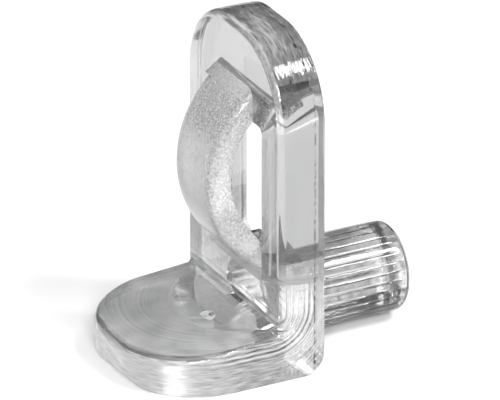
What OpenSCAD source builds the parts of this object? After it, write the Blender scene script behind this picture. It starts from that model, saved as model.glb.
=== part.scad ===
// Shelf support pin, moulded in one piece of clear plastic.
// The peg goes into a drilled hole in the side of a cabinet, the plate stands
// against that side, the shelf lies on the ledge, and the bow springs against
// the end of the shelf. Sizes in mm, +Z up, +Y along the peg.
// The origin is where the peg's axis meets the back face of the plate.

/* [Peg] */
// outer diameter of the peg, across its ribs
peg_diameter = 5.0; // [4:0.1:6]
// how far the peg stands out behind the plate
peg_length = 6.9; // [5:0.1:12]
// rounding of the rim of the peg's free end
peg_end_round = 0.5; // [0.2:0.1:1.2]
// fillet where the peg grows out of the plate
peg_root_fillet = 0.12; // [0.06:0.02:0.3]
// how far the solid block at the peg's root rises above the peg, inside the slot
root_cover = 0.2; // [0.14:0.02:0.4]
// number of shallow grooves round the peg, which leave fine ribs between them
groove_count = 20; // [8:1:28]
// depth of each groove
groove_depth = 0.06; // [0.03:0.01:0.12]
// width of each groove
groove_width = 0.36; // [0.2:0.02:0.5]
// distance from the plate's back face to where the grooves start
groove_start = 0.5; // [0.3:0.1:1]

/* [Plate] */
// width of the plate and of the ledge below it
plate_width = 10.8; // [10:0.1:14]
// thickness of the plate, front face to back face
plate_thickness = 2.8; // [2.4:0.1:4]
// height of the plate's top above the peg's axis
plate_top = 16.5; // [15.6:0.1:20]
// depth of the underside below the peg's axis
underside_depth = 2.6; // [2.6:0.1:4]
// radius of the two upper corners, which make the arched top
arch_radius = 4.5; // [2:0.1:4.9]
// rounding of the plate's front edges
front_edge_round = 0.42; // [0.2:0.02:0.6]
// rounding of the plate's back edges
back_edge_round = 0.2; // [0.1:0.02:0.4]
// rounding of the lower back edge, below the peg
heel_round = 1.4; // [0.6:0.1:2]

/* [Slot] */
// half of the slot's width at the front face
slot_front_half_width = 3.3; // [2.9:0.05:3.6]
// half of the slot's width at the back face, wider so that it leaves the mould
slot_back_half_width = 3.78; // [3.4:0.02:4.2]
// height of the slot's floor above the peg's axis, at the front face
slot_front_floor = 2.45; // [2.2:0.05:3.5]
// height of the slot's floor above the peg's axis, at the back face
slot_back_floor = 2.14; // [2:0.02:3]
// height of the slot's ceiling above the peg's axis, at the front face
slot_front_ceiling = 11.7; // [10.8:0.1:12]
// height of the slot's ceiling above the peg's axis, at the back face
slot_back_ceiling = 12.7; // [12:0.1:13.5]
// radius of the slot's lower corners, at the front face
floor_front_corner = 0.5; // [0.2:0.05:0.8]
// radius of the slot's lower corners, at the back face
floor_back_corner = 0.85; // [0.3:0.05:1.5]
// radius of the slot's upper corners, at the front face
ceiling_front_corner = 0.2; // [0.15:0.05:0.8]
// radius of the slot's upper corners, at the back face
ceiling_back_corner = 0.8; // [0.3:0.05:1.5]

/* [Bow] */
// width of the bow
bow_width = 4.5; // [3.2:0.1:5.2]
// how far the bow's crown stands out in front of the plate's back face
bow_reach = 5.35; // [4.6:0.05:6]
// thickness of the bow at its crown
bow_crown_thickness = 1.26; // [0.8:0.02:1.5]
// radius of the bow's outer face
bow_outer_radius = 6.56; // [6:0.02:7.5]
// radius of the bow's inner face
bow_inner_radius = 4.76; // [4.4:0.02:5.2]
// how far behind the plate's front face the outer face comes down to the slot's floor
bow_foot_setback = 0.89; // [0.5:0.01:1.4]
// how much higher the inner face's crown lies than the outer face's
bow_crown_offset = 0.15; // [-0.2:0.01:0.4]
// angle round from the crown at which the inner face leaves its arc for the foot
bow_foot_angle = 37; // [30:1:42]
// rounding of the long edges of the bow's outer face
bow_edge_round = 0.4; // [0.1:0.05:0.8]
// how far the small flat at the bow's upper root reaches in front of the plate
root_flat_reach = 0.54; // [0.3:0.02:0.8]
// how far that flat rises along the plate above where the bow's arc would meet it
root_flat_rise = 0.1; // [0.05:0.05:0.4]

/* [Ledge] */
// how far the ledge's nose stands out in front of the plate's back face
ledge_reach = 10.3; // [9:0.1:14]
// height of the ledge's top where it leaves the plate
ledge_top = 0.1; // [-0.4:0.05:0.4]
// downward slope of the ledge's top towards its nose, in degrees
ledge_slope = 4.3; // [0:0.1:6]
// corner radius of the nose, seen from above
nose_radius = 4.45; // [2:0.05:4.9]
// rounding of the rim of the ledge's top
rim_round = 0.35; // [0.15:0.05:0.6]
// rounding of the nose's lower edge, seen from the side
nose_lower_round = 0.85; // [0.4:0.05:1.4]
// fillet between the ledge's top and the plate
ledge_fillet = 0.3; // [0.1:0.05:0.6]

/* [Gate recess] */
// radius of the recess's round rim on the ledge's top
recess_radius = 4.35; // [3:0.05:4.6]
// how far the middle of that rim lies behind the plate's front face
recess_setback = 1.1; // [0.4:0.1:2]
// depth of the sphere that cuts the recess, below the ledge's top
recess_depth = 1.0; // [0.5:0.05:1.3]
// slope of the ramp that climbs from the bottom of the recess to the plate, in degrees
recess_ramp = 21.5; // [12:0.5:35]
// distance from the plate's front face to the trimmed stub of the moulding gate
stub_distance = 1.6; // [1.2:0.1:2.4]
// radius of the stub
stub_radius = 0.4; // [0.2:0.05:0.6]
// height of the stub above the ramp
stub_height = 0.12; // [0.05:0.01:0.3]

/* [Hidden] */
$fn = 96;
// how far a cutter runs past the faces that it cuts
past = 1;
front = -plate_thickness;
half_width = plate_width / 2;
body_bottom = -underside_depth;
corner_height = plate_top - arch_radius;
corner_offset = half_width - arch_radius;
peg_radius = peg_diameter / 2;
groove_radius = (pow(groove_width / 2, 2) + pow(groove_depth, 2)) / (2 * groove_depth);
outer_axis = bow_outer_radius - bow_reach;
foot_y = front + bow_foot_setback;
bow_outer_height = drafted(slot_front_floor, slot_back_floor, foot_y)
    + sqrt(pow(bow_outer_radius, 2) - pow(foot_y - outer_axis, 2));
bow_inner_height = bow_outer_height + bow_crown_offset;
inner_axis = bow_inner_radius - bow_reach + bow_crown_thickness;
nose_offset = half_width - nose_radius;
recess_sphere = (pow(recess_radius, 2) + pow(recess_depth, 2)) / (2 * recess_depth);
slab_height = underside_depth + ledge_top + past;
clear_colour = [0.80, 0.82, 0.83, 0.6];

// A size of the slot that changes evenly from the front face to the back face.
function drafted(at_front, at_back, y) =
    at_front + (at_back - at_front) * (y - front) / plate_thickness;

// A square corner at the origin, less a quarter circle: what a rounded edge takes away.
module round_off(radius) {
    difference() {
        translate([-past, -past]) square(radius + past);
        translate([radius, radius]) circle(radius);
    }
}

// Section through one edge of the plate: x runs inwards from the edge,
// y from the front face to the back face.
module plate_section(depth) {
    difference() {
        translate([0, front]) square([depth, plate_thickness]);
        translate([0, front]) round_off(front_edge_round);
        mirror([0, 1]) round_off(back_edge_round);
    }
}

// Section through the rim of the ledge: x runs inwards from the edge, y = 0 is the top.
module rim_section(depth) {
    difference() {
        translate([0, -slab_height]) square([depth, slab_height]);
        mirror([0, 1]) round_off(rim_round);
    }
}

// Both halves of a section that is the same from either side edge.
module both_sides(width) {
    translate([-width / 2, 0]) children();
    translate([width / 2, 0]) mirror([1, 0]) children();
}

// A round corner: the section of the edge swept about an axis at this radius inside it.
module swept_corner(radius) {
    rotate_extrude()
        intersection() {
            translate([radius, 0]) mirror([1, 0]) children();
            translate([0, -slab_height - past]) square([radius, slab_height + 2 * past]);
        }
}

// The arched plate: straight below, two round corners, and a short flat top between them.
module plate() {
    translate([0, 0, body_bottom])
        linear_extrude(corner_height - body_bottom)
            both_sides(plate_width) plate_section(half_width);
    for (side = [-1, 1])
        translate([side * corner_offset, 0, corner_height])
            rotate([-90, 0, 0])
                swept_corner(arch_radius) plate_section(arch_radius);
    translate([-corner_offset, 0, plate_top])
        rotate([0, 90, 0])
            linear_extrude(2 * corner_offset) plate_section(arch_radius);
}

// The ledge as a level slab with its top at z = 0, measured from the plate's front face.
module ledge_slab() {
    reach = ledge_reach - plate_thickness;
    straight = reach - nose_radius;
    translate([0, plate_thickness / 2, 0])
        rotate([90, 0, 0])
            linear_extrude(straight + plate_thickness / 2)
                both_sides(plate_width) rim_section(half_width);
    for (side = [-1, 1])
        translate([side * nose_offset, -straight, 0])
            swept_corner(nose_radius) rim_section(nose_radius);
    translate([-nose_offset, -reach, 0])
        rotate([90, 0, 90])
            linear_extrude(2 * nose_offset) rim_section(nose_radius);
}

// The fillet between the ledge's top and the plate, also measured from the front face.
module ledge_fillet_strip() {
    run = plate_width - 2 * front_edge_round;
    translate([-run / 2, 0, 0])
        rotate([90, 0, 90])
            linear_extrude(run)
                difference() {
                    translate([-ledge_fillet, -past / 2])
                        square([ledge_fillet + past / 2, ledge_fillet + past / 2]);
                    translate([-ledge_fillet, ledge_fillet]) circle(ledge_fillet);
                }
}

// The recess that keeps the gate's stub below the ledge's top: a shallow spherical
// cut with a round rim, where a ramp climbs back up to the plate.
module gate_recess() {
    intersection() {
        translate([0, recess_setback, recess_sphere - recess_depth])
            sphere(recess_sphere);
        rotate([recess_ramp, 0, 0])
            translate([-half_width, -ledge_reach, 0])
                cube([plate_width, ledge_reach, past + recess_depth]);
    }
}

// The trimmed stub of the gate, standing on the ramp.
module gate_stub() {
    translate([0, -stub_distance, -stub_distance * tan(recess_ramp) - past / 2])
        cylinder(r = stub_radius, h = past / 2 + stub_height);
}

module ledge() {
    translate([0, front, ledge_top])
        rotate([ledge_slope, 0, 0]) {
            difference() {
                union() {
                    ledge_slab();
                    ledge_fillet_strip();
                }
                gate_recess();
            }
            gate_stub();
        }
}

// What plate and ledge keep, seen from the side: flat below, with a round heel
// and a round lower edge to the nose.
module side_outline() {
    difference() {
        translate([-ledge_reach, body_bottom])
            square([ledge_reach, plate_top - body_bottom]);
        translate([-ledge_reach, body_bottom]) round_off(nose_lower_round);
        translate([0, body_bottom]) mirror([1, 0]) round_off(heel_round);
    }
}

// One round corner of the slot's outline.
module slot_corner(x, y, z, radius) {
    translate([x, y, z]) rotate([90, 0, 0]) cylinder(r = radius, h = 0.01, $fn = 48);
}

// The slot's outline at one depth.
module slot_outline(y) {
    half = drafted(slot_front_half_width, slot_back_half_width, y);
    low = drafted(slot_front_floor, slot_back_floor, y);
    high = drafted(slot_front_ceiling, slot_back_ceiling, y);
    low_corner = drafted(floor_front_corner, floor_back_corner, y);
    high_corner = drafted(ceiling_front_corner, ceiling_back_corner, y);
    for (side = [-1, 1]) {
        slot_corner(side * (half - low_corner), y, low + low_corner, low_corner);
        slot_corner(side * (half - high_corner), y, high - high_corner, high_corner);
    }
}

// The slot behind the bow, wider and higher at the back so that it leaves the mould.
module slot() {
    hull() {
        slot_outline(front - 0.1);
        slot_outline(0.1);
    }
}

// The bow seen from the side, without its outer arc: what is left of the disc.
module bow_mask() {
    foot = [inner_axis - bow_inner_radius * cos(bow_foot_angle),
            bow_inner_height - bow_inner_radius * sin(bow_foot_angle)];
    drop = foot[1] - slot_back_floor + past;
    heel = foot[0] + drop * tan(bow_foot_angle);
    difference() {
        translate([-bow_reach - past, slot_back_floor - past / 2])
            square([bow_reach + past, slot_back_ceiling - slot_back_floor + 2 * past]);
        translate([inner_axis, bow_inner_height]) circle(bow_inner_radius);
        polygon([foot, [heel, foot[1] - drop], [past, foot[1] - drop], [past, bow_inner_height],
                 [inner_axis, bow_inner_height]]);
    }
}

// Side view of the small flat at the bow's upper root: it leaves the outer arc
// a little in front of the plate and meets the plate above the arc's own end.
module root_flat_outline() {
    start_y = front - root_flat_reach;
    start_z = bow_outer_height + sqrt(pow(bow_outer_radius, 2) - pow(start_y - outer_axis, 2));
    arc_z = bow_outer_height + sqrt(pow(bow_outer_radius, 2) - pow(front - outer_axis, 2));
    polygon([[start_y, start_z], [front, arc_z + root_flat_rise], [front + past / 2, arc_z],
             [front, arc_z - root_flat_reach]]);
}

// The springy bow across the front of the slot.
module bow() {
    half = bow_width / 2;
    intersection() {
        translate([0, outer_axis, bow_outer_height])
            rotate([0, 90, 0])
                rotate_extrude()
                    difference() {
                        translate([0, -half]) square([bow_outer_radius, bow_width]);
                        translate([bow_outer_radius, -half]) mirror([1, 0]) round_off(bow_edge_round);
                        translate([bow_outer_radius, half]) mirror([1, 0]) mirror([0, 1])
                            round_off(bow_edge_round);
                    }
        translate([-half - past, 0, 0])
            rotate([90, 0, 90])
                linear_extrude(bow_width + 2 * past) bow_mask();
    }
    translate([-half, 0, 0])
        rotate([90, 0, 90])
            linear_extrude(bow_width) root_flat_outline();
}

// Half of the peg's section: x is the radius, y runs from inside the plate to the free end.
module peg_section() {
    difference() {
        translate([0, -heel_round]) square([peg_radius, peg_length + heel_round]);
        translate([peg_radius, peg_length]) mirror([1, 0]) mirror([0, 1]) round_off(peg_end_round);
    }
}

// Section of the fillet round the peg's root.
module peg_fillet_section() {
    difference() {
        translate([peg_radius - past / 2, -past / 2])
            square([past / 2 + peg_root_fillet, past / 2 + peg_root_fillet]);
        translate([peg_radius + peg_root_fillet, peg_root_fillet]) circle(peg_root_fillet);
    }
}

// The solid block at the peg's root. Below the peg the plate keeps its full thickness
// down to the underside, with the round heel only beside it. Above the peg it fills
// the corner between the bow's foot and the plate's back face.
module peg_root() {
    translate([-peg_radius, -heel_round, body_bottom])
        cube([peg_diameter, heel_round, underside_depth]);
    translate([-bow_width / 2, -heel_round, 0])
        cube([bow_width, heel_round, peg_radius + root_cover]);
}

module peg() {
    rotate([-90, 0, 0])
        difference() {
            rotate_extrude() peg_section();
            for (i = [0 : groove_count - 1])
                rotate([0, 0, (i + 0.5) * 360 / groove_count])
                    translate([peg_radius - groove_depth + groove_radius, 0, groove_start])
                        cylinder(r = groove_radius, h = peg_length, $fn = 24);
        }
    peg_root();
    intersection() {
        rotate([-90, 0, 0]) rotate_extrude() peg_fillet_section();
        translate([-half_width, -peg_root_fillet, body_bottom])
            cube([plate_width, past, 2 * peg_diameter]);
    }
}

module shelf_pin() {
    color(clear_colour) {
        difference() {
            intersection() {
                union() {
                    plate();
                    ledge();
                }
                translate([-half_width - past, 0, 0])
                    rotate([90, 0, 90])
                        linear_extrude(plate_width + 2 * past) side_outline();
            }
            slot();
        }
        bow();
        peg();
    }
}

shelf_pin();
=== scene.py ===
import math

import bmesh
import bpy
from mathutils import Matrix, Vector


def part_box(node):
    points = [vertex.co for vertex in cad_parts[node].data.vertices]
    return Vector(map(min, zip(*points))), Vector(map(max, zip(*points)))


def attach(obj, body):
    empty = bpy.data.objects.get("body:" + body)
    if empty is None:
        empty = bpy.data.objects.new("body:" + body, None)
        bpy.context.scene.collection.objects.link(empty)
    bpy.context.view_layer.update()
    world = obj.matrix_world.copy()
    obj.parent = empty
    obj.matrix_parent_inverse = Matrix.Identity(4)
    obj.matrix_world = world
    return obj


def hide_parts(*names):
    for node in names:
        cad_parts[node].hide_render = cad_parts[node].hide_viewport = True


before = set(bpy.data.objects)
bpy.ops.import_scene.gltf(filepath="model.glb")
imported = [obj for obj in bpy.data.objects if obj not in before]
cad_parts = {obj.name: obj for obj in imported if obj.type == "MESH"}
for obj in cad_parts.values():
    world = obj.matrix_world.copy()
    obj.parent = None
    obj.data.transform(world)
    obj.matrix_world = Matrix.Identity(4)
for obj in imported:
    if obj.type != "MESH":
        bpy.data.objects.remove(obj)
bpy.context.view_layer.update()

# ---------------------------------------------------------------- plate and ledge
# The arched plate stands against the cabinet side and the round-nosed ledge in
# front of it carries the shelf. They are one body of clear moulded plastic, with
# the mould's parting line running round the edge near the back face.
mm = 0.001
lowest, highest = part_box("shelf_pin")
half_width = highest.x
underside = lowest.z
plate_top = highest.z
front = -2.8 * mm
arch_radius = 4.5 * mm
parting_line = -0.67 * mm
parting_step = 0.035 * mm
ledge_top = 0.1 * mm
ledge_slope = math.radians(4.3)
ledge_run = 7.479 * mm
nose = front - ledge_run
nose_radius = 4.45 * mm
nose_draft = 0.2 * mm
plate_round = 0.42 * mm
back_round = 0.19 * mm
ledge_end_round = 0.29 * mm
ledge_round = 0.35 * mm
ledge_round_grows = -6 * mm
nose_round = 0.6 * mm
hair = 0.002 * mm         # places nearer than this are the same place
cut_reach = 1e-8          # a corner nearer than this to a cut lies on it
flat_angle = math.radians(0.05)
corner_angle = math.radians(40)
square_on = 0.9           # the part of a normal along an axis, on a face that looks that way


def settle(name, scale=(1, 1, 1)):
    """Names a new primitive, and works its place, turn and scale into its mesh."""
    piece = bpy.context.object
    piece.name = name
    piece.scale = scale
    bpy.ops.object.transform_apply(location=True, rotation=True, scale=True)
    return piece


def block(name, low, high):
    """A cube primitive between two corners."""
    bpy.ops.object.select_all(action="DESELECT")
    centre = [(a + b) / 2 for a, b in zip(low, high)]
    bpy.ops.mesh.primitive_cube_add(size=1, location=centre)
    return settle(name, [b - a for a, b in zip(low, high)])


def choose(piece, kind, test):
    """Edit mode, with only the corners, edges or faces selected that pass the test."""
    bpy.context.view_layer.objects.active = piece
    bpy.ops.object.mode_set(mode="EDIT")
    bpy.ops.mesh.select_mode(type=kind)
    bpy.ops.mesh.select_all(action="DESELECT")
    mesh = bmesh.from_edit_mesh(piece.data)
    mesh.normal_update()
    for part in {"VERT": mesh.verts, "EDGE": mesh.edges, "FACE": mesh.faces}[kind]:
        if test(part):
            part.select_set(True)
    bmesh.update_edit_mesh(piece.data)


def leave_edit():
    """Back to object mode, with the changes kept."""
    bpy.ops.object.mode_set(mode="OBJECT")


def anything(part):
    """The test that every part of a mesh passes."""
    return True


def near(a, b):
    """True where two lengths are the same but for a hair."""
    return abs(a - b) < hair


def both(edge, test):
    """True where both ends of an edge pass the test."""
    return all(test(vert.co) for vert in edge.verts)


def lengthwise(edge):
    """True for an edge that doesn't run across the width."""
    return near(edge.verts[0].co.x, edge.verts[1].co.x)


def sharp(edge):
    """True where two faces meet at a corner."""
    return edge.is_manifold and edge.calc_face_angle() > corner_angle


def cut(place, normal, **sides):
    """Cuts what is selected along a plane. No part of the normal may be past 1."""
    bpy.ops.mesh.bisect(plane_co=place, plane_no=normal, threshold=cut_reach, **sides)


def round_off(radius, steps, affect="EDGES"):
    """Rounds the chosen edges, or corners, to this radius."""
    bpy.ops.mesh.bevel(offset=radius, segments=steps, affect=affect)


def finish_with(piece, kind, **settings):
    """Adds one modifier and applies it."""
    modifier = piece.modifiers.new(kind.title(), kind)
    for name, value in settings.items():
        setattr(modifier, name, value)
    bpy.context.view_layer.objects.active = piece
    bpy.ops.object.modifier_apply(modifier=modifier.name)


body = block("shelf_pin_body", (-half_width, front, underside), (half_width, parting_line, plate_top))
choose(body, "FACE", anything)
cut((0, 0, ledge_top), (0, 0, 1))
choose(body, "FACE", lambda face: face.normal.y < -square_on and face.calc_center_median().z < ledge_top)
bpy.ops.mesh.extrude_region_move(TRANSFORM_OT_translate={"value": (0, -ledge_run, 0)})
choose(body, "EDGE", lambda edge: both(edge, lambda co: near(co.y, nose) and co.z > 0))
bpy.ops.transform.translate(value=(0, 0, -ledge_run * math.tan(ledge_slope)))
choose(body, "EDGE", lambda edge: both(edge, lambda co: near(co.y, nose) and near(co.z, underside)))
bpy.ops.transform.translate(value=(0, nose_draft, 0))
choose(body, "EDGE", lambda edge: both(edge, lambda co: co.y < nose + 2 * nose_draft)
       and not near(edge.verts[0].co.z, edge.verts[1].co.z))
round_off(nose_radius, steps=28)
choose(body, "EDGE", lambda edge: lengthwise(edge) and both(
    edge, lambda co: near(co.z, plate_top) and near(abs(co.x), half_width)))
round_off(arch_radius, steps=32)
choose(body, "FACE", lambda face: face.normal.y > square_on)
bpy.ops.mesh.inset(thickness=parting_step)
bpy.ops.mesh.extrude_region_move(TRANSFORM_OT_translate={"value": (0, -parting_line, 0)})
bpy.ops.mesh.dissolve_limited(angle_limit=flat_angle)
leave_edit()


def rounding(edge):
    """The radius that an edge of the body gets."""
    a, b = (vert.co for vert in edge.verts)
    if near(a.z, underside) or near(b.z, underside):
        return 0
    if near(a.y, front) and near(b.y, front):
        return ledge_end_round if near(a.z, ledge_top) and near(b.z, ledge_top) else plate_round
    if near(a.y, 0) and near(b.y, 0):
        return back_round
    if max(a.y, b.y) < front + hair and max(a.z, b.z) < ledge_top + hair and sharp(edge):
        toward_nose = (ledge_round_grows - (a.y + b.y) / 2) / (ledge_round_grows - nose)
        return ledge_round + (nose_round - ledge_round) * min(max(toward_nose, 0), 1)
    return 0


mesh = bmesh.new()
mesh.from_mesh(body.data)
weights = mesh.edges.layers.float.new("bevel_weight_edge")
for edge in mesh.edges:
    edge[weights] = rounding(edge) / nose_round
mesh.to_mesh(body.data)
mesh.free()
finish_with(body, "BEVEL", width=nose_round, segments=8, limit_method="WEIGHT", use_clamp_overlap=False)

# The finishes. The steel of the mould leaves its texture on the plastic, and thin
# lines of flow show where the plastic turned the corner between plate and ledge.
# Each finish's clarity is partly the plastic's own and partly painted light and
# shade, which makes some faces lighter or darker than others.
foot_top = 4.3 * mm       # below this the plate's edge shows lines of flow
arch_share = 0.45         # how much of the arch's radius, from the top, is deeply scratched
top_starts = 0.6          # the part of a normal along Z where a top meets a side
edge_starts = 0.3         # the same along Y, where the plate's rounded edge leaves its side
edge_ends = 0.97          # and where that edge runs out into the flat front
plastic_ior = 1.58
plastic_tint = (0.995, 0.998, 1.0)
# Painted shade: the base colour of every finish runs from nearly clear at the foot to darker higher up.
painted_shade_low = (0.5 * mm, 0.97)
painted_shade_high = (3.5 * mm, 0.5)
least_clarity = 0.02
noise_middle = 0.5
line_detail = 1.5
dash_starts = 0.42
dash_full = 0.55
seam_core = 0.25
rings = (("X", 0), ("Y", 0))              # two axes, each with its sign or 0
round_corner = (("Y", 1), ("Z", -1))


def math_node(finish, operation, *values):
    """A Math node. Each value is a number or another node's output."""
    node = finish.node_tree.nodes.new("ShaderNodeMath")
    node.operation = operation
    for socket, value in zip(node.inputs, values):
        if isinstance(value, (int, float)):
            socket.default_value = value
        else:
            finish.node_tree.links.new(value, socket)
    return node.outputs["Value"]


def ramp(finish, value, start, end):
    """Runs evenly from the second number of start to that of end, as a value goes from
    the first number of start to that of end."""
    share = finish.node_tree.nodes.new("ShaderNodeMapRange")
    for name, number in zip(("From Min", "To Min", "From Max", "To Max"), start + end):
        share.inputs[name].default_value = number
    finish.node_tree.links.new(value, share.inputs["Value"])
    return share.outputs["Result"]


def height_and_shade(finish, level, height, shade):
    """What a texture gives: how high it stands, and how much light it takes."""
    return math_node(finish, "MULTIPLY", level, height), math_node(finish, "MULTIPLY", level, shade)


def even(size):
    """The same size along X, Y and Z."""
    return size, size, size


def grain(height, shade, size, detail=1.0):
    """Uneven steel of the mould, with grains of this size along X, Y and Z."""
    def build(finish, place_on, split):
        nodes, links = finish.node_tree.nodes, finish.node_tree.links
        mapping = nodes.new("ShaderNodeMapping")
        mapping.inputs["Scale"].default_value = [1 / length for length in size]
        links.new(place_on, mapping.inputs["Vector"])
        noise = nodes.new("ShaderNodeTexNoise")
        noise.inputs["Scale"].default_value = 1.0
        noise.inputs["Detail"].default_value = detail
        links.new(mapping.outputs["Vector"], noise.inputs["Vector"])
        level = math_node(finish, "SUBTRACT", noise.outputs["Fac"], noise_middle)
        return height_and_shade(finish, level, height, shade)
    return build


def lines(height, shade, spacing, axes, centre, fades=()):
    """Fine lines that follow a centre in the plane of two axes: rings where the
    axes have no sign, or lines that run straight, round a corner and straight again.
    Each fade is an axis and the places where the lines are 0 and 1 of their height."""
    def build(finish, place_on, split):
        nodes, links = finish.node_tree.nodes, finish.node_tree.links
        squares = []
        for (axis, sign), middle in zip(axes, centre):
            along = math_node(finish, "SUBTRACT", split.outputs[axis], middle)
            if sign:
                along = math_node(finish, "MAXIMUM", math_node(finish, "MULTIPLY", along, sign), 0.0)
            squares.append(math_node(finish, "MULTIPLY", along, along))
        distance = math_node(finish, "SQRT", math_node(finish, "ADD", *squares))
        noise = nodes.new("ShaderNodeTexNoise")
        noise.noise_dimensions = "1D"
        noise.inputs["Scale"].default_value = 1.0
        noise.inputs["Detail"].default_value = line_detail
        links.new(math_node(finish, "MULTIPLY", distance, 1 / spacing), noise.inputs["W"])
        level = math_node(finish, "SUBTRACT", noise.outputs["Fac"], noise_middle)
        for axis, start, end in fades:
            share = ramp(finish, split.outputs[axis], (start, 0.0), (end, 1.0))
            level = math_node(finish, "MULTIPLY", level, share)
        return height_and_shade(finish, level, height, shade)
    return build


def seam(height, shade, place, width, dash):
    """The broken line that a joint of the mould leaves at one place along Y."""
    def build(finish, place_on, split):
        nodes, links = finish.node_tree.nodes, finish.node_tree.links
        noise = nodes.new("ShaderNodeTexNoise")
        noise.inputs["Scale"].default_value = 1 / dash
        noise.inputs["Detail"].default_value = 1.0
        links.new(place_on, noise.inputs["Vector"])
        aside = math_node(finish, "ABSOLUTE", math_node(finish, "SUBTRACT", split.outputs["Y"], place))
        dashes = ramp(finish, noise.outputs["Fac"], (dash_starts, 0.0), (dash_full, -1.0))
        band = ramp(finish, aside, (width * seam_core, 1.0), (width, 0.0))
        return height_and_shade(finish, math_node(finish, "MULTIPLY", dashes, band), height, shade)
    return build


def painted_shading(axis, start, end):
    """Painted light or shade: the base colour made lighter or darker along an axis,
    from one place and share to another.
    """
    def build(finish, place_on, split):
        return 0.0, ramp(finish, split.outputs[axis], start, end)
    return build


def moulded(name, *textures, roughness, haze, clarity_and_shade):
    """A finish of the clear plastic: how rough and how milky its skin is, how clear it
    is beside the body, which is partly painted light and shade, and the textures that
    the mould's steel gives it, with ramps of painted light and shade among them."""
    finish = bpy.data.materials.new(name)
    finish.use_nodes = True
    nodes, links = finish.node_tree.nodes, finish.node_tree.links
    shader = nodes["Principled BSDF"]
    shader.inputs["Roughness"].default_value = roughness
    shader.inputs["IOR"].default_value = plastic_ior
    shader.inputs["Transmission Weight"].default_value = 1 - haze
    place_on = nodes.new("ShaderNodeTexCoord").outputs["Object"]
    split = nodes.new("ShaderNodeSeparateXYZ")
    links.new(place_on, split.inputs["Vector"])
    height, level = 0.0, 1.0
    for texture in textures:
        step, shade = texture(finish, place_on, split)
        height = math_node(finish, "ADD", height, step)
        level = math_node(finish, "ADD", level, shade)
    bump = nodes.new("ShaderNodeBump")
    bump.inputs["Distance"].default_value = 1.0
    links.new(height, bump.inputs["Height"])
    links.new(bump.outputs["Normal"], shader.inputs["Normal"])
    # Painted shade: the base colour is made darker from the foot up the plate.
    level = math_node(finish, "MULTIPLY", level, ramp(finish, split.outputs["Z"], painted_shade_low, painted_shade_high))
    level = math_node(finish, "MULTIPLY", math_node(finish, "MAXIMUM", level, least_clarity), clarity_and_shade)
    tint = nodes.new("ShaderNodeVectorMath")
    tint.operation = "SCALE"
    tint.inputs["Vector"].default_value = plastic_tint
    links.new(math_node(finish, "MINIMUM", level, 1.0), tint.inputs["Scale"])
    links.new(tint.outputs["Vector"], shader.inputs["Base Color"])
    return finish


def coat(piece, finish, test=None):
    """Gives a piece this finish, all over or on the faces that pass the test."""
    piece.data.materials.append(finish)
    if test:
        index = len(piece.data.materials) - 1
        for face in piece.data.polygons:
            if test(face):
                face.material_index = index


def on_plate(face):
    """True for the faces from the front face back."""
    return face.center.y > front - hair


def on_ledge(face):
    """True for the faces in front of the front face."""
    return face.center.y < front - hair


choose(body, "FACE", lambda face: face.calc_center_median().y > front - hair
       and abs(face.normal.z) < square_on)
cut((0, 0, foot_top), (0, 0, 1))
leave_edit()
parting_seam = seam(height=0.01 * mm, shade=0.9, place=parting_line, width=0.09 * mm, dash=0.3 * mm)
flow_lines = lines(height=0.03 * mm, shade=3.0, spacing=0.15 * mm,
                   axes=round_corner, centre=(-3.2 * mm, 1.5 * mm),
                   fades=(("Y", -9 * mm, -5 * mm), ("Y", 0.0, -1.0 * mm),
                          ("Z", 3.2 * mm, 1.5 * mm), ("Z", -2.3 * mm, -0.9 * mm)))
polished = moulded("polished", grain(height=0.001 * mm, shade=0.0, size=even(1 * mm)),
                   roughness=0.03, haze=0.0, clarity_and_shade=1.0)
ledge_finish = moulded("ledge_top", grain(height=0.03 * mm, shade=1.3, size=even(1.6 * mm)),
                       lines(height=0.008 * mm, shade=0.6, spacing=0.16 * mm,
                             axes=rings, centre=(-0.7 * mm, -3.3 * mm)),
                       lines(height=0.01 * mm, shade=0.5, spacing=0.5 * mm,
                             axes=rings, centre=(-0.6 * mm, -3.1 * mm)),
                       roughness=0.12, haze=0.1, clarity_and_shade=0.75)
# Painted light and shade: the ledge's side is lighter toward the nose, and its low clarity keeps the near
# side darker.
side_finish_and_light = moulded("ledge_side", painted_shading("Y", start=(-4.5 * mm, 0.0), end=(-9 * mm, 0.7)),
                      grain(height=0.007 * mm, shade=2.0, size=(0.8 * mm, 0.8 * mm, 0.08 * mm)),
                      flow_lines, roughness=0.2, haze=0.36, clarity_and_shade=0.46)
rim_finish = moulded("rim_drawn",
                     grain(height=0.002 * mm, shade=0.1, size=(0.2 * mm, 0.16 * mm, 0.5 * mm)),
                     parting_seam, roughness=0.05, haze=0.0, clarity_and_shade=0.92)
# Painted shade: the arch's low clarity keeps its top dark.
arch_finish = moulded("arch_drawn",
                      grain(height=0.028 * mm, shade=3.3, size=(0.6 * mm, 0.13 * mm, 0.6 * mm)),
                      parting_seam, roughness=0.1, haze=0.27, clarity_and_shade=0.58)
# Painted light: the arch's rounded front edge has a high clarity, so it looks lighter.
edge_painted_light = moulded("plate_edge",
                      grain(height=0.004 * mm, shade=0.7, size=(0.3 * mm, 0.15 * mm, 0.3 * mm)),
                      roughness=0.12, haze=0.3, clarity_and_shade=1.4)
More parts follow.
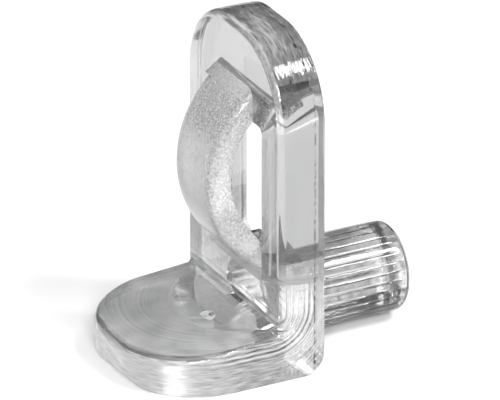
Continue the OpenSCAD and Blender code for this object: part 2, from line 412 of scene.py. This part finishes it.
# Painted shade: the foot is darker toward the underside.
foot_finish_and_shade = moulded("foot_drawn", painted_shading("Z", start=(-0.8 * mm, 0.0), end=(-2.0 * mm, -0.4)),
                      grain(height=0.004 * mm, shade=0.8, size=(0.3 * mm, 0.16 * mm, 0.3 * mm)),
                      flow_lines, parting_seam, roughness=0.1, haze=0.27, clarity_and_shade=0.95)
coat(body, polished)
coat(body, ledge_finish, lambda face: on_ledge(face) and face.normal.z > top_starts)
coat(body, rim_finish, lambda face: on_plate(face) and abs(face.normal.y) < square_on)
coat(body, arch_finish, lambda face: on_plate(face) and abs(face.normal.y) < edge_ends
     and face.center.z > plate_top - arch_share * arch_radius)
coat(body, edge_painted_light, lambda face: on_plate(face) and -edge_ends < face.normal.y < -edge_starts
     and face.center.z > plate_top - arch_radius)
coat(body, side_finish_and_light, lambda face: on_ledge(face) and abs(face.normal.z) < top_starts)
coat(body, foot_finish_and_shade, lambda face: on_plate(face) and face.center.z < foot_top)

# ---------------------------------------------------------------- heel and toe
# The body's two lower edges, at the back of the plate and under the nose. They are
# moulded round, in the same clear plastic.
heel_round = 1.4 * mm
toe_round = 0.85 * mm
toe = -10.3 * mm
wide = 7 * mm             # half the width of a tool that cuts right across
bar_length = 4 * wide     # long enough to run past both sides of such a tool
spare = 1 * mm            # how far a tool runs past what it cuts
fine_sides = 288
plain_sides = 128


def join(piece, tool, operation):
    """Boolean of a piece with a tool, which is used up."""
    finish_with(piece, "BOOLEAN", object=tool, operation=operation, solver="EXACT",
                material_mode="TRANSFER")
    bpy.data.objects.remove(tool)


def round_bar(name, radius, centre, length, sides):
    """A cylinder primitive that lies along X."""
    bpy.ops.object.select_all(action="DESELECT")
    bpy.ops.mesh.primitive_cylinder_add(radius=radius, depth=length, vertices=sides,
                                        location=centre, rotation=(0, math.pi / 2, 0))
    return settle(name)


for name, radius, inward, edge_y in (("heel", heel_round, -1, 0), ("toe", toe_round, 1, toe)):
    middle = edge_y + inward * radius
    ends = sorted((middle, edge_y - inward * spare))
    waste = block(name, (-wide, ends[0], underside - spare), (wide, ends[1], underside + radius))
    bar = round_bar(name + "_round", radius, (0, middle, underside + radius), bar_length, plain_sides)
    join(waste, bar, "DIFFERENCE")
    join(body, waste, "DIFFERENCE")

# ---------------------------------------------------------------- slot
# The opening behind the bow, formed by a mould core that leaves towards the back, so
# it is wider and higher at the back face. Its ceiling follows the bow's inner face
# and keeps the core's rough grain near the front, where it is also painted dark as shade.
slot_half = (3.3 * mm, 3.78 * mm)           # each pair is at the front face and the back face
slot_floor = (2.45 * mm, 2.14 * mm)
slot_top = (11.4 * mm, 12.5 * mm)
slot_floor_round = (0.5 * mm, 0.85 * mm)
slot_top_round = (0.2 * mm, 0.8 * mm)
slot_overrun = 0.3 * mm
ceiling_width = 6.6 * mm
ceiling_lift = 0.01 * mm
ceiling_round = 0.3 * mm
ceiling_grain_reach = 2.1 * mm
looks_down = 0.5          # the part of a tool's normal along Z where it cuts the slot's floor
bow_inner_radius = 4.76 * mm
bow_inner_axis = 0.67 * mm
bow_inner_height = 8.272 * mm


def drafted(pair, y):
    """A size of the slot that changes evenly from the front face to the back face."""
    return pair[0] + (pair[1] - pair[0]) * (y - front) / -front


def slot_outline(y):
    """The slot's outline at one depth, as one face: a plane with rounded corners."""
    half, low, high = drafted(slot_half, y), drafted(slot_floor, y), drafted(slot_top, y)
    bpy.ops.object.select_all(action="DESELECT")
    bpy.ops.mesh.primitive_plane_add(size=1, location=(0, y, (low + high) / 2),
                                     rotation=(math.pi / 2, 0, 0))
    outline = settle("slot_outline", (2 * half, high - low, 1))
    for level, radius in ((low, drafted(slot_floor_round, y)), (high, drafted(slot_top_round, y))):
        choose(outline, "VERT", lambda vert: near(vert.co.z, level) and near(abs(vert.co.x), half))
        round_off(radius, steps=10, affect="VERTICES")
    leave_edit()
    return outline


outlines = [slot_outline(front - slot_overrun), slot_outline(slot_overrun)]
bpy.ops.object.select_all(action="DESELECT")
for outline in outlines:
    outline.select_set(True)
bpy.context.view_layer.objects.active = outlines[0]
bpy.ops.object.join()
core = bpy.context.object
core.name = "slot_core"
choose(core, "FACE", anything)
bpy.ops.mesh.delete(type="ONLY_FACE")
bpy.ops.mesh.select_all(action="SELECT")
bpy.ops.mesh.bridge_edge_loops()
bpy.ops.mesh.select_all(action="DESELECT")
bpy.ops.mesh.select_mode(type="EDGE")
bpy.ops.mesh.select_non_manifold()
bpy.ops.mesh.edge_face_add()
bpy.ops.mesh.select_all(action="SELECT")
bpy.ops.mesh.normals_make_consistent(inside=False)
leave_edit()
slot_finish = moulded("slot_wall",
                      grain(height=0.001 * mm, shade=0.1, size=(0.2 * mm, 0.2 * mm, 0.6 * mm)),
                      roughness=0.05, haze=0.15, clarity_and_shade=1.2)
floor_grain = moulded("slot_floor",
                      grain(height=0.02 * mm, shade=1.0, size=even(0.2 * mm), detail=2.0),
                      roughness=0.2, haze=0.45, clarity_and_shade=1.4)
# Painted shade: the ceiling's grain is dark, from its low clarity.
ceiling_grain_and_shade = moulded("slot_ceiling",
                        grain(height=0.08 * mm, shade=16.0,
                              size=(0.13 * mm, 0.16 * mm, 0.13 * mm), detail=2.0),
                        roughness=0.2, haze=0.45, clarity_and_shade=0.26)
coat(core, slot_finish)
coat(core, floor_grain, lambda face: face.normal.z < -looks_down)
join(body, core, "DIFFERENCE")
ceiling = round_bar("slot_ceiling", bow_inner_radius + ceiling_lift, (0, bow_inner_axis, bow_inner_height),
                    ceiling_width - 2 * hair, fine_sides)
choose(ceiling, "EDGE", sharp)
round_off(ceiling_round, steps=6)
leave_edit()
coat(ceiling, slot_finish)
coat(ceiling, ceiling_grain_and_shade, lambda face: face.center.y < front + ceiling_grain_reach)
join(body, ceiling, "DIFFERENCE")

# ---------------------------------------------------------------- gate recess
# A shallow round recess in the ledge's top, against the plate, keeps the trimmed
# stub of the moulding gate below the shelf. A ramp climbs from it to the plate.
recess_radius = 4.35 * mm
recess_depth = 1.0 * mm
recess_cutter_top = 0.4 * mm
rim_radius = 4.5 * mm
rim_depth = 0.51 * mm
rim_cutter_top = 0.3 * mm
recess_setback = 1.1 * mm
recess_ramp = math.radians(21.5)
stub_distance = 1.6 * mm
stub_radius = 0.55 * mm
stub_height = 0.16 * mm
stub_edge = 0.15 * mm
scar_edge = 0.16 * mm
scar_shift = 0.08 * mm
scar_depth = 0.12 * mm
ledge_tilt = Matrix.Translation((0, front, ledge_top)) @ Matrix.Rotation(ledge_slope, 4, "X")


def place(piece, matrix):
    """Moves a piece's mesh, so that the object itself stays at the origin."""
    piece.data.transform(matrix)
    piece.data.update()


def dish(name, radius, depth, top):
    """A sphere primitive's cap of this radius and depth at the ledge's level, cut flat
    at a height above it."""
    sphere_radius = (radius ** 2 + depth ** 2) / (2 * depth)
    bpy.ops.object.select_all(action="DESELECT")
    bpy.ops.mesh.primitive_uv_sphere_add(segments=fine_sides, ring_count=fine_sides, radius=sphere_radius,
                                         location=(0, recess_setback, sphere_radius - depth))
    cap = settle(name)
    choose(cap, "FACE", anything)
    cut((0, 0, top), (0, 0, 1), use_fill=True, clear_outer=True)
    leave_edit()
    return cap


cutter = dish("recess_cutter", recess_radius, recess_depth, recess_cutter_top)
join(cutter, dish("recess_rim", rim_radius, rim_depth, rim_cutter_top), "UNION")
choose(cutter, "FACE", anything)
cut((0, 0, 0), (0, -math.sin(recess_ramp), math.cos(recess_ramp)), use_fill=True, clear_inner=True)
leave_edit()
recess_finish = moulded("recess", grain(height=0.003 * mm, shade=0.4, size=even(0.5 * mm)),
                        roughness=0.25, haze=0.35, clarity_and_shade=1.1)
coat(cutter, recess_finish)

bpy.ops.object.select_all(action="DESELECT")
bpy.ops.mesh.primitive_cylinder_add(
    radius=stub_radius, depth=spare, vertices=40,
    location=(0, -stub_distance, -stub_distance * math.tan(recess_ramp) - spare / 2))
stub = settle("gate_stub")
choose(stub, "FACE", lambda face: face.normal.z > square_on)
bpy.ops.mesh.inset(thickness=stub_edge)
bpy.ops.transform.translate(value=(0, 0, stub_height))
bpy.ops.mesh.inset(thickness=scar_edge)
bpy.ops.transform.translate(value=(scar_shift, 0, -scar_depth))
leave_edit()
coat(stub, recess_finish)
join(cutter, stub, "DIFFERENCE")
place(cutter, ledge_tilt)
join(body, cutter, "DIFFERENCE")

# ---------------------------------------------------------------- bow
# The springy bow across the front of the slot presses against the end of the
# shelf. It is moulded with the plate and its curved faces keep a fine grain.
bow_half = 2.25 * mm
bow_outer_radius = 6.56 * mm
bow_outer_axis = 1.21 * mm
bow_outer_height = 8.122 * mm
bow_edge_round = 0.75 * mm
bow_foot_angle = math.radians(37)
bow_foot_low = 2.0 * mm
bow_back = -0.6 * mm
past_bow = 20 * mm        # farther than the bow reaches any way
looks_aside = 0.5         # the part of a normal along X where the bow's edge meets its face
foot_y = bow_inner_axis - bow_inner_radius * math.cos(bow_foot_angle)
foot_z = bow_inner_height - bow_inner_radius * math.sin(bow_foot_angle)
bow = round_bar("bow", bow_outer_radius, (0, bow_outer_axis, bow_outer_height), 2 * bow_half, fine_sides)
choose(bow, "EDGE", sharp)
round_off(bow_edge_round, steps=14)
leave_edit()
bow_grain = moulded("bow_grain", grain(height=0.01 * mm, shade=2.0, size=even(0.1 * mm)),
                    roughness=0.2, haze=0.3, clarity_and_shade=1.35)
# Painted light: the bow's side faces are a lighter copy of its grain.
bow_side_painted_light = moulded("bow_side_painted_light", grain(height=0.008 * mm, shade=1.5, size=even(0.14 * mm)),
                   roughness=0.15, haze=0.28, clarity_and_shade=1.65)
root_finish = moulded("bow_root", grain(height=0.008 * mm, shade=1.5, size=even(0.12 * mm)),
                      roughness=0.3, haze=0.45, clarity_and_shade=1.3)
coat(bow, bow_grain)
coat(bow, bow_side_painted_light, lambda face: abs(face.normal.x) > looks_aside)
hollow = round_bar("bow_hollow", bow_inner_radius, (0, bow_inner_axis, bow_inner_height),
                   bar_length, fine_sides)
below_foot = block("bow_below_foot", (-wide, 0, -past_bow), (wide, past_bow, 0))
place(below_foot, Matrix.Translation((0, foot_y, foot_z)) @ Matrix.Rotation(bow_foot_angle, 4, "X"))
below = block("bow_below", (-wide, -past_bow, -past_bow), (wide, past_bow, bow_foot_low))
behind = block("bow_behind", (-wide, bow_back, 0), (wide, past_bow, past_bow))
for waste in (hollow, below_foot, below, behind):
    coat(waste, bow_grain)
    join(bow, waste, "DIFFERENCE")
join(body, bow, "UNION")

# The small flat at the bow's upper root, which slopes from the outer arc up to the
# plate. It is moulded with both, and rounded at its two sides.
root_flat_reach = 0.54 * mm
root_flat_rise = 0.1 * mm
root_flat_inset = 0.3 * mm
root_flat_round = 0.5 * mm
arc_top = bow_outer_height + math.sqrt(bow_outer_radius ** 2 - (front - bow_outer_axis) ** 2)
flat_start = front - root_flat_reach
flat_top = bow_outer_height + math.sqrt(bow_outer_radius ** 2 - (flat_start - bow_outer_axis) ** 2)
flat_rise = arc_top + root_flat_rise - flat_top
root_flat = block("bow_root_flat", (-bow_half + hair, flat_start, arc_top - root_flat_reach),
                  (bow_half - hair, front + root_flat_inset, arc_top + spare))
choose(root_flat, "FACE", anything)
cut((0, flat_start, flat_top), (0, -flat_rise, root_flat_reach), use_fill=True, clear_outer=True)
choose(root_flat, "EDGE", lambda edge: sharp(edge) and lengthwise(edge) and both(
    edge, lambda co: near((co.z - flat_top) / flat_rise * root_flat_reach, co.y - flat_start)))
round_off(root_flat_round, steps=10)
leave_edit()
coat(root_flat, root_finish)
join(body, root_flat, "UNION")

# ---------------------------------------------------------------- peg
# The round peg goes into the drilled hole in the cabinet side. It is moulded with
# the plate. Fine grooves along it leave ribs that grip the hole, and its free end
# has a rounded rim.
peg_radius = 2.5 * mm
peg_length = highest.y
peg_end_round = 0.5 * mm
rib_count = 30
sides_per_rib = 8
groove_start = 0.5 * mm
groove_stop = 6.15 * mm
groove_run_out = 0.1 * mm
groove_depth = 0.05 * mm
over_peg = 0.2 * mm
under_peg_top = -1 * mm
bpy.ops.object.select_all(action="DESELECT")
bpy.ops.mesh.primitive_cylinder_add(
    radius=peg_radius, depth=peg_length + heel_round, vertices=rib_count * sides_per_rib,
    location=(0, (peg_length - heel_round) / 2, 0), rotation=(-math.pi / 2, 0, 0))
peg = settle("peg")
choose(peg, "EDGE", lambda edge: both(edge, lambda co: co.y > peg_length - hair))
round_off(peg_end_round, steps=10)
for y in (groove_start, groove_start + groove_run_out, groove_stop - groove_run_out, groove_stop):
    bpy.ops.mesh.select_all(action="SELECT")
    cut((0, y, 0), (0, 1, 0))
leave_edit()


def in_groove(co):
    """True for the points of the peg's wall in the middle of a groove."""
    side = round(math.atan2(co.x, co.z) / math.tau * rib_count * sides_per_rib)
    return groove_start + hair < co.y < groove_stop - hair and side % sides_per_rib == 0


choose(peg, "EDGE", lambda edge: both(edge, in_groove))
groove_scale = 1 - groove_depth / peg_radius
bpy.ops.transform.resize(value=(groove_scale, 1, groove_scale), center_override=(0, 0, 0))
leave_edit()
# Painted shadow: the peg is dark along its lower part.
peg_polish_and_shadow = moulded("peg_polish_and_shadow",
                     grain(height=0.003 * mm, shade=0.6, size=(0.2 * mm, 0.4 * mm, 0.2 * mm), detail=1.5),
                     painted_shading("Z", start=(-0.6 * mm, 0.0), end=(-1.5 * mm, -0.97)),
                     roughness=0.05, haze=0.0, clarity_and_shade=0.8)
coat(peg, peg_polish_and_shadow)
join(body, peg, "UNION")

# Solid plastic at the peg's root: below it down to the underside, with the round
# heel only beside it, and above it inside the slot.
below_peg = block("peg_root", (-peg_radius, -heel_round, underside), (peg_radius, 0, under_peg_top))
above_peg = block("peg_root", (-bow_half + 2 * hair, -heel_round, 0),
                  (bow_half - 2 * hair, 0, peg_radius + over_peg))
for root in (below_peg, above_peg):
    coat(root, polished)
    join(body, root, "UNION")

# ---------------------------------------------------------------- whole pin
# The moulding as it leaves its mould, one piece of one clear plastic. Its curved
# faces are shaded as smooth ones, and its corners stay crisp.
crisp_angle = math.radians(28)
bpy.ops.object.select_all(action="DESELECT")
body.select_set(True)
bpy.context.view_layer.objects.active = body
bpy.ops.object.shade_smooth_by_angle(angle=crisp_angle)
finish_with(body, "WEIGHTED_NORMAL", mode="FACE_AREA", weight=80, keep_sharp=True)
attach(body, "root")
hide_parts("shelf_pin")

# ---------------------------------------------------------------- floor and light
# A floor of pale matt card, a grey sky that is brighter overhead, and soft lamps
# round the pin. None of it belongs to the part.
floor_size = 1.2
floor_drop = 0.03 * mm
floor_colour = (0.93, 0.93, 0.93, 1)
sky_low = (0.15, (0.06, 0.06, 0.06, 1))     # a height from 0 to 1, and the sky's colour there
sky_high = (0.9, (0.45, 0.45, 0.45, 1))
bpy.ops.object.select_all(action="DESELECT")
bpy.ops.mesh.primitive_plane_add(size=floor_size, location=(0, 0, underside - floor_drop))
floor = settle("floor")
card = bpy.data.materials.new("floor_white")
card.use_nodes = True
card_shader = card.node_tree.nodes["Principled BSDF"]
card_shader.inputs["Base Color"].default_value = floor_colour
card_shader.inputs["Roughness"].default_value = 0.8
card_shader.inputs["Specular IOR Level"].default_value = 0.0
floor.data.materials.append(card)

world = bpy.data.worlds.new("studio")
bpy.context.scene.world = world
world.use_nodes = True
nodes, links = world.node_tree.nodes, world.node_tree.links
direction = nodes.new("ShaderNodeTexCoord")
height = nodes.new("ShaderNodeSeparateXYZ")
sky = nodes.new("ShaderNodeValToRGB")
for stop, (position, colour) in zip(sky.color_ramp.elements, (sky_low, sky_high)):
    stop.position = position
    stop.color = colour
links.new(direction.outputs["Generated"], height.inputs["Vector"])
links.new(height.outputs["Z"], sky.inputs["Fac"])
links.new(sky.outputs["Color"], nodes["Background"].inputs["Color"])


def toward(azimuth, elevation):
    """The direction at this azimuth, from the front toward the right, and elevation."""
    turn, lift = math.radians(azimuth), math.radians(elevation)
    return Vector((math.cos(lift) * math.sin(turn), -math.cos(lift) * math.cos(turn), math.sin(lift)))


def face_toward(thing, point):
    """Turns a lamp or a camera so that it looks at a point."""
    thing.rotation_euler = (point - thing.location).to_track_quat("-Z", "Y").to_euler()


def softbox(name, azimuth, elevation, distance, width, height, radiance):
    """A soft lamp of this width and height in metres that faces the pin."""
    lamp = bpy.data.lights.new(name, "AREA")
    lamp.shape = "RECTANGLE"
    lamp.size = width
    lamp.size_y = height
    lamp.energy = radiance * math.pi * width * height
    holder = bpy.data.objects.new(name, lamp)
    bpy.context.scene.collection.objects.link(holder)
    holder.location = toward(azimuth, elevation) * distance
    face_toward(holder, Vector())


softbox("key", azimuth=66, elevation=30, distance=0.6, width=0.22, height=0.22, radiance=21)
softbox("right", azimuth=120, elevation=14, distance=0.5, width=0.5, height=0.26, radiance=1.8)
softbox("arch", azimuth=130, elevation=54, distance=0.5, width=0.11, height=0.13, radiance=31)
softbox("top", azimuth=60, elevation=85, distance=0.5, width=0.35, height=0.35, radiance=0.75)
softbox("rear", azimuth=273, elevation=42, distance=0.5, width=0.3, height=0.16, radiance=2.0)
softbox("nose", azimuth=200, elevation=22, distance=0.5, width=0.2, height=0.16, radiance=4.0)

# ---------------------------------------------------------------- camera
# A camera with a long lens looks down on the pin from its front right, so that
# near and far edges keep nearly the same scale.
camera_place = Vector((451.543, -237.732, 248.343)) * mm
camera_target = Vector((-2.568, -0.430, 4.362)) * mm
focal_length = 755.3
sensor_width = 36
nearest_seen = 0.01
camera_data = bpy.data.cameras.new("camera")
camera_data.lens = focal_length
camera_data.sensor_width = sensor_width
camera_data.clip_start = nearest_seen
camera = bpy.data.objects.new("camera", camera_data)
bpy.context.scene.collection.objects.link(camera)
camera.location = camera_place
face_toward(camera, camera_target)
bpy.context.scene.camera = camera
bpy.context.scene.view_settings.view_transform = "Standard"
